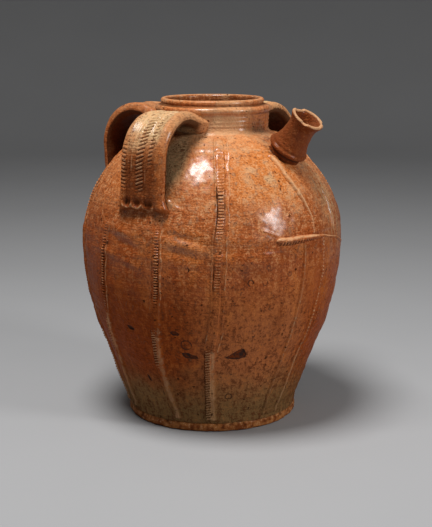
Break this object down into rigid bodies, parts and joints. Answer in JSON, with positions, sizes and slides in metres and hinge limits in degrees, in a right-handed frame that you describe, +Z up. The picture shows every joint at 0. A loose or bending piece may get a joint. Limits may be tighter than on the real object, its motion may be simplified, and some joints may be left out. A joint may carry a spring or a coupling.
{
  "type": "spouted storage jug",
  "caption": "Large glazed earthenware oil jug: ovoid body on a slab foot, wide rolled mouth, slanted tube spout, strap handles and notched clay bands.",
  "frame": {"origin": "centre of the flat base, where the jug stands", "axes": "+Z up along the body's axis, +X towards the spout"},
  "size_m": [0.3289, 0.3264, 0.4],
  "materials": {
    "body_glaze": "glossy lead glaze over red clay, pitted and kiln-marked",
    "handle_glaze": "glossy lead glaze with a yellow-green tinge, worn on the ridges",
    "band_glaze": "glossy lead glaze, worn pale on the notched ridges",
    "foot_clay": "bare fired clay, matt, scuffed"
  },
  "bodies": {
    "root": {"floor_slab": "foot_clay", "lower_wall": "body_glaze", "shoulder_wall": "body_glaze", "neck_collar": "body_glaze", "spout_tube": "body_glaze", "spout_luting_ring": "body_glaze", "handle_right": "handle_glaze", "handle_left": "handle_glaze", "handle_back": "handle_glaze", "band_front_right_upper": "band_glaze", "band_front_right_lower": "band_glaze", "band_front_left_upper": "band_glaze", "band_front_left_lower": "band_glaze", "band_back_left_upper": "band_glaze", "band_back_left_lower": "band_glaze", "band_back_right_upper": "band_glaze", "band_back_right_lower": "band_glaze", "band_right_handle_fore": "band_glaze", "band_right_handle_aft": "band_glaze", "band_left_handle_fore": "band_glaze", "band_left_handle_aft": "band_glaze", "band_back_handle_left": "band_glaze", "band_back_handle_right": "band_glaze", "spout_strap_upper": "band_glaze", "spout_strap_lower": "band_glaze", "cross_strap": "band_glaze"}
  },
  "joints": []
}
